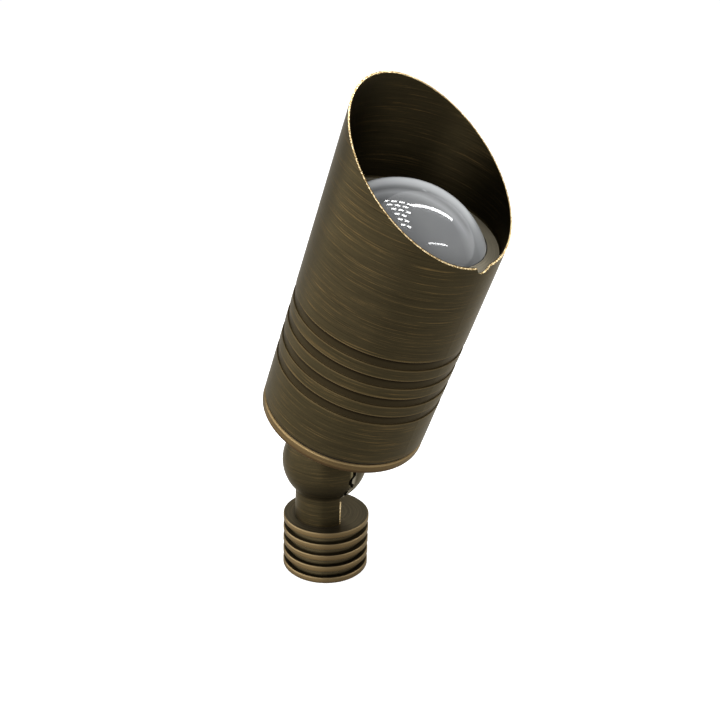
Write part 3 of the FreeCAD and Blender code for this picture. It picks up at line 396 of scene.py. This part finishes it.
def rib_colour(space, colour, lines):
    """Ribs worn light, painted lighter at their tops and shaded towards their lower edges, with brown
    grooves painted dark just below each rib and lighter further down.
    """
    tree = space.tree
    start = HUB_TOP - (HUB_GROOVES + 1) * HUB_RIB_PITCH
    phase = math_node(tree, "SUBTRACT", 1.0, space.phase(start, HUB_RIB_PITCH))
    end = HUB_RIB / HUB_RIB_PITCH
    # The rib colour is part wear and part painted light: a painted highlight at the top of each rib and
    # painted shade down to its lower edge.
    worn = ramp(tree, phase, [(0.0, srgb(96, 82, 58)), (end * 0.4, srgb(88, 74, 51)),
                              (end * 0.75, srgb(76, 63, 42)), (end, srgb(34, 28, 17))])
    worn = stain(tree, worn, lines, [(0.3, grey(0.8)), (0.7, (1.25, 1.22, 1.15, 1))])
    rib = space.radius_step(HUB_RADIUS - 0.45 * MM, HUB_RADIUS - 0.15 * MM)
    colour = blend_colour(tree, rib, colour, worn)
    sunk = space.radius_step(HUB_RADIUS - 0.3 * MM, HUB_GROOVE_FLOOR + 0.2 * MM)
    wall = space.along_step(HUB_TOP - 0.1 * MM, HUB_TOP - 0.3 * MM)
    # painted shade just below each rib on the groove floor, and painted light further down
    floor = ramp(tree, phase, [(end, srgb(26, 22, 14)), (end + 0.10, srgb(38, 32, 21)),
                               (0.82, srgb(79, 70, 50)), (0.96, srgb(50, 44, 30))])
    colour = blend_colour(tree, all_of(tree, sunk, wall), colour, floor)
    edges = all_of(tree, space.radius_step(HUB_RADIUS - 0.45 * MM, HUB_RADIUS - 0.3 * MM),
                   space.upward(0.35, 0.55))
    return blend_colour(tree, edges, colour, RIB_EDGE)


def hub_brass():
    """The hub: worn ribs and brown grooves with painted light and shade, and a greyed top."""
    material, space, colour, lines = start_brass("hub_brass", Vector(), HUB_AXIS)
    colour = rib_colour(space, colour, lines)
    colour = dusty_top(space, colour, lines)
    return close_brass(material, space, colour, lines)


# the ring's painted highlight comes in between the heights of RING_UPPER_EDGE, and its painted shade
# between those of RING_LOWER_EDGE
RING_UPPER_EDGE = (-2.6 * MM, -2.1 * MM)
RING_LOWER_EDGE = (-3.6 * MM, -5.0 * MM)


def cap_brass():
    """The rear cap: a tan ring with a painted highlight along its upper edge and painted shade below."""
    material, space, colour, lines = start_brass("cap_brass", TUBE_FOOT, LAMP_AXIS, TAN)
    tree = space.tree
    colour = blend_colour(tree, space.along_step(*RING_UPPER_EDGE), colour, RING_PAINTED_HIGHLIGHT)
    colour = blend_colour(tree, space.along_step(*RING_LOWER_EDGE), colour, RING_PAINTED_SHADE)
    return close_brass(material, space, colour, lines)


# NECK_FLAT is where the neck's flat side lies along the pin. Heights count from the hub's foot:
# the lower half of the ball has painted shade deepening down BALL_SHADE, and beside its teeth it
# grows lighter up BALL_WEAR. BALL_REACH is the distance from the pivot up to which the teeth are worn.
NECK_FLAT = -2.16 * MM
NECK_TOP = 32.5 * MM
BALL_SHADE = (45.0 * MM, 35.0 * MM)
BALL_WEAR = (38.0 * MM, 42.0 * MM)
BALL_REACH = 16.3 * MM


def knuckle_brass():
    """The lower half of the ball: painted shade below, lighter by its teeth, with a bare edge on its
    neck.
    """
    material, space, colour, lines = start_brass("knuckle_brass", Vector(), HUB_AXIS)
    tree = space.tree
    towards = dot(tree, space.normal, PIN_AXIS)
    across = dot(tree, space.place, PIN_AXIS)
    neck = space.along_step(NECK_TOP + 0.5 * MM, NECK_TOP - 0.5 * MM)
    ball = math_node(tree, "SUBTRACT", 1.0, neck)
    # painted shade: the lower half of the ball darkens downwards
    shaded_underside = all_of(tree, space.along_step(*BALL_SHADE), ball)
    colour = shaded(tree, shaded_underside, colour, BALL_PAINTED_SHADE, share=0.65)
    edge = all_of(tree, smooth_step(tree, across, NECK_FLAT - 0.9 * MM, NECK_FLAT - 0.7 * MM),
                  smooth_step(tree, towards, 0.6, 0.4), space.upward(0.6, 0.4),
                  space.along_step(NECK_TOP - 1.0 * MM, NECK_TOP - 2.0 * MM))
    colour = blend_colour(tree, edge, colour, bare_metal(space))
    worn = all_of(tree, smooth_step(tree, across, NECK_FLAT - 1.4 * MM, NECK_FLAT - 0.4 * MM),
                  space.along_step(*BALL_WEAR))
    colour = shaded(tree, worn, colour, BALL_WORN, share=0.6)
    colour = dusty_top(space, colour, lines)
    return close_brass(material, space, colour, lines)


def head_brass():
    """The upper half of the ball: greyer, and worn light on its teeth."""
    material, space, colour, lines = start_brass("head_brass", Vector(), HUB_AXIS, GREYED)
    tree = space.tree
    across = dot(tree, space.place, PIN_AXIS)
    reach = vector_node(tree, "DISTANCE", space.place, tuple(PIVOT), output=1)
    teeth = all_of(tree, smooth_step(tree, across, NECK_FLAT + 2.4 * MM, NECK_FLAT + 0.6 * MM),
                   smooth_step(tree, reach, BALL_REACH + 0.4 * MM, BALL_REACH))
    colour = blend_colour(tree, teeth, colour, TEETH_WORN)
    return close_brass(material, space, colour, lines)


# ---------------------------------------------------------------- other materials

GRAIN_SCALE = 900.0
GRAIN_RELIEF = 0.1
GRAIN_CONTRAST = 0.12
GRAIN_DULLING = 0.05
FINGER_FILM_SCALE = 60.0
WEATHER_FILM_SCALE = 90.0


def plain_material(name, colour, metallic, roughness, gloss=0.5):
    """A finish with a fine grain that varies its colour, gloss and surface a little."""
    material, tree = new_material(name)
    place = add(tree, "ShaderNodeTexCoord").outputs["Object"]
    speckle = noise(tree, place, GRAIN_SCALE, 3.0)
    low = tuple(part * (1 - GRAIN_CONTRAST) for part in colour[:3]) + (1.0,)
    high = tuple(min(part * (1 + GRAIN_CONTRAST), 1.0) for part in colour[:3]) + (1.0,)
    shade = ramp(tree, speckle, [(0.35, low), (0.65, high)])
    rough = spread(tree, speckle, roughness - GRAIN_DULLING, roughness + GRAIN_DULLING)
    return finish_material(material, Base_Color=shade, Metallic=metallic, Roughness=rough,
                           Specular_IOR_Level=gloss, Normal=relief(tree, speckle, GRAIN_RELIEF))


def optic_glass():
    """Clear glass with a faint film."""
    material, tree = new_material("optic_glass")
    place = add(tree, "ShaderNodeTexCoord").outputs["Object"]
    rough = spread(tree, noise(tree, place, FINGER_FILM_SCALE, 2.0), 0.0, 0.03)
    return finish_material(material, Base_Color=(0.93, 0.95, 0.96, 1.0), Roughness=rough,
                           IOR=1.47, Transmission_Weight=1.0)


# The dome's grey haze against the slant of its surface, at its crown and at its foot, with painted
# lighter bands towards its outline that stand in for the glass's internal reflections. The one
# passes into the other between the radii of CROWN_TO_FOOT.
CROWN_HAZE_AND_REFLECTION = [(0.0, 0.24), (0.38, 0.24), (0.46, 0.36), (0.535, 0.18), (0.58, 0.24), (0.65, 0.46),
              (0.72, 0.62), (0.80, 0.78), (1.0, 0.82)]
FOOT_HAZE_AND_REFLECTION = [(0.0, 0.27), (0.35, 0.25), (0.45, 0.30), (0.55, 0.29), (0.65, 0.38), (0.75, 0.48),
             (1.0, 0.60)]
CROWN_TO_FOOT = (15.5 * MM, 20.0 * MM)


def haze_and_reflection_ramp(tree, slant, levels):
    """A slightly bluish grey for each level."""
    return ramp(tree, slant, [(stop, (level * 0.97, level, level * 1.02, 1)) for stop, level in levels])


def dome_glass():
    """Thick moulded glass with a grey haze, and painted lighter bands towards its outline for its
    internal reflections.
    """
    material, tree = new_material("dome_glass")
    space = TurnedSpace(tree, TUBE_FOOT, LAMP_AXIS)
    slant = add(tree, "ShaderNodeLayerWeight", {"Blend": 0.5}).outputs["Facing"]
    crown = haze_and_reflection_ramp(tree, slant, CROWN_HAZE_AND_REFLECTION)
    foot = haze_and_reflection_ramp(tree, slant, FOOT_HAZE_AND_REFLECTION)
    # painted reflection: the haze grows lighter in bands towards the dome's outline
    haze_and_reflection = blend_colour(tree, space.radius_step(*CROWN_TO_FOOT), crown, foot)
    film = noise(tree, space.place, WEATHER_FILM_SCALE, 3.0)
    haze_and_reflection = stain(tree, haze_and_reflection, film, [(0.35, (0.96, 0.96, 0.97, 1)), (0.65, (1.03, 1.03, 1.02, 1))])
    clear = add(tree, "ShaderNodeMapRange", {"Value": slant, "From Min": 0.36, "From Max": 0.6,
                                             "To Min": 0.4, "To Max": 0.0}).outputs[0]
    return finish_material(material, Base_Color=haze_and_reflection, Roughness=0.03, IOR=1.5, Transmission_Weight=clear)


# ---------------------------------------------------------------- dress the nodes

def dress(node, material):
    """Give a CAD node its material."""
    mesh = frame["nodes"][node].data
    mesh.materials.clear()
    mesh.materials.append(material)


def dress_all():
    plain_brass = plain_material("plain_brass", srgb(196, 164, 98), 1.0, 0.32)
    spring_steel = plain_material("spring_steel", srgb(170, 170, 166), 1.0, 0.34)
    screw_steel = plain_material("screw_steel", srgb(178, 178, 176), 1.0, 0.28)
    seal_rubber = plain_material("seal_rubber", srgb(20, 16, 11), 0.0, 0.7, gloss=0.2)
    silicone = plain_material("clear_silicone", srgb(200, 200, 196), 0.0, 0.45)
    ceramic = plain_material("ceramic", srgb(226, 220, 206), 0.0, 0.5)
    sleeve = plain_material("lead_sleeve", srgb(214, 210, 200), 0.0, 0.8)
    board = plain_material("board", srgb(222, 224, 220), 0.0, 0.5)
    mirror = plain_material("lamp_mirror", srgb(205, 206, 208), 1.0, 0.18)
    finishes = {
        "ribbed_hub": hub_brass(), "knuckle_base": knuckle_brass(), "knuckle_head": head_brass(),
        "rear_cap": cap_brass(), "front_housing": housing_brass(),
        "swivel_locknut": plain_brass, "cap_locknut": plain_brass, "lens_retainer": plain_brass,
        "lampholder_contacts": plain_brass, "swivel_washer": spring_steel, "knuckle_washer": spring_steel,
        "lampholder_bracket": spring_steel, "knuckle_screw": screw_steel, "bracket_screws": screw_steel,
        "lamp_pins": screw_steel, "stem_oring": seal_rubber, "knuckle_oring": seal_rubber,
        "cap_oring": seal_rubber, "lead_seal": seal_rubber, "housing_gasket": seal_rubber,
        "lens_gasket": silicone, "lampholder": ceramic, "lamp_base": ceramic,
        "lamp_lead_left": sleeve, "lamp_lead_right": sleeve, "lamp_board": board,
        "lamp_reflector": mirror, "lamp_optic": optic_glass(), "lens_dome": dome_glass(),
    }
    for node, material in finishes.items():
        dress(node, material)
    left = set(frame["nodes"]) - set(finishes)
    if left:
        raise RuntimeError(f"no finish for {sorted(left)}")


# ---------------------------------------------------------------- room

FLOOR_REACH = 40.0
FLOOR_COLOUR = grey(0.8)
FLOOR_GLOW = 0.66
WORLD_LIGHT = 0.45
WORLD_WHITE = 1.0


def seen_directly(tree):
    """1 for rays from the camera, a mirroring surface or glass, and 0 for those that light things."""
    paths = add(tree, "ShaderNodeLightPath").outputs
    seen = math_node(tree, "MAXIMUM", paths["Is Camera Ray"], paths["Is Glossy Ray"])
    return math_node(tree, "MAXIMUM", seen, paths["Is Transmission Ray"])


def make_floor():
    """A plain pale floor that shows white and keeps the object's shadow."""
    mesh = bpy.data.meshes.new("floor")
    corners = [(x * FLOOR_REACH, y * FLOOR_REACH, 0) for x, y in ((-1, -1), (1, -1), (1, 1), (-1, 1))]
    mesh.from_pydata(corners, [], [(0, 1, 2, 3)])
    floor = bpy.data.objects.new("floor", mesh)
    bpy.context.scene.collection.objects.link(floor)
    material, tree = new_material("floor_white")
    strength = math_node(tree, "MULTIPLY", seen_directly(tree), FLOOR_GLOW)
    matt = add(tree, "ShaderNodeBsdfDiffuse", {"Color": FLOOR_COLOUR})
    glow = add(tree, "ShaderNodeEmission", {"Strength": strength})
    both = add(tree, "ShaderNodeAddShader", {0: matt.outputs[0], 1: glow.outputs[0]})
    add(tree, "ShaderNodeOutputMaterial", {"Surface": both.outputs[0]})
    mesh.materials.append(material)


def make_world():
    world = bpy.data.worlds.new("studio")
    world.use_nodes = True
    tree = world.node_tree
    tree.nodes.clear()
    strength = blend_number(tree, seen_directly(tree), WORLD_LIGHT, WORLD_WHITE)
    sky = add(tree, "ShaderNodeBackground", {"Color": grey(1.0), "Strength": strength})
    add(tree, "ShaderNodeOutputWorld", {"Surface": sky.outputs[0]})
    bpy.context.scene.world = world


# The key light is aimed at AIM, near the middle of the object, and the other lamps are placed
# from the middle of the lens.
AIM = Vector((0.02, 0, 0.1))
LENS_HEIGHT = 57.0 * MM
LENS_MIDDLE = TUBE_FOOT + LAMP_AXIS * LENS_HEIGHT
STRIP_DISTANCE = 1.2
STRIP_BRIGHTNESS = 20
LONG_STRIP = {"first": (-0.009, 0.304, 0.953), "last": (0.241, 0.762, 0.601), "width": 0.09}
SHORT_STRIP = {"first": (0.716, 0.056, 0.696), "last": (0.727, 0.431, 0.535), "width": 0.035}
KEY_LIGHT = {"azimuth": -105, "elevation": 15, "distance": 1.2, "width": 3.4, "height": 0.9,
             "brightness": 4.2}


def heading(azimuth, elevation):
    """A direction; azimuth 0 is towards +X and turns towards +Y."""
    turn, lift = math.radians(azimuth), math.radians(elevation)
    return Vector((math.cos(turn) * math.cos(lift), math.sin(turn) * math.cos(lift), math.sin(lift)))


def area_light(name, place, back, right, width, height, brightness):
    """A soft box that faces away from back, its width along right."""
    light = bpy.data.lights.new(name, "AREA")
    light.shape = "RECTANGLE"
    light.size = width
    light.size_y = height
    light.energy = brightness * math.pi * width * height
    back = back.normalized()
    right = (right - back * right.dot(back)).normalized()
    turned = Matrix((right, back.cross(right), back)).transposed()
    holder = bpy.data.objects.new(name, light)
    holder.matrix_world = Matrix.Translation(place) @ turned.to_4x4()
    bpy.context.scene.collection.objects.link(holder)


def soft_light(name, azimuth, elevation, distance, width, height, brightness):
    outward = heading(azimuth, elevation)
    right = Vector((0, 0, 1)).cross(outward)
    area_light(name, AIM + outward * distance, outward, right, width, height, brightness)


def strip_light(name, first, last, width):
    """A lamp tube between two directions as the lens sees them."""
    ends = [Vector(way).normalized() * STRIP_DISTANCE for way in (first, last)]
    middle = (ends[0] + ends[1]) / 2
    span = ends[1] - ends[0]
    area_light(name, LENS_MIDDLE + middle, middle, span, span.length, width, STRIP_BRIGHTNESS)


CEILING_HEIGHT = 1.2
CEILING_START = Vector((-0.376, 0.128, 1.0))
CEILING_ROW = Vector((0.13, -0.057, 0.0))
CEILING_STEP = Vector((0.11, 0.058, 0.0))
CEILING_LAMP = {"width": 0.1, "height": 0.055, "brightness": 22}
LAMPS_IN_ROW = (4, 3, 3, 2, 2, 2)


def ceiling_lamps():
    """Rows of small ceiling lamps, which the lens mirrors."""
    for row, count in enumerate(LAMPS_IN_ROW):
        for step in range(count):
            way = (CEILING_START + CEILING_ROW * row + CEILING_STEP * step) * CEILING_HEIGHT
            area_light(f"ceiling_{row}_{step}", LENS_MIDDLE + way, Vector((0, 0, 1)), CEILING_STEP,
                       **CEILING_LAMP)


def light_room():
    make_world()
    make_floor()
    soft_light("key_left", **KEY_LIGHT)
    strip_light("strip_long", **LONG_STRIP)
    strip_light("strip_short", **SHORT_STRIP)
    ceiling_lamps()


bpy.context.scene.view_settings.view_transform = "Standard"
make_camera()
light_room()
dress_all()
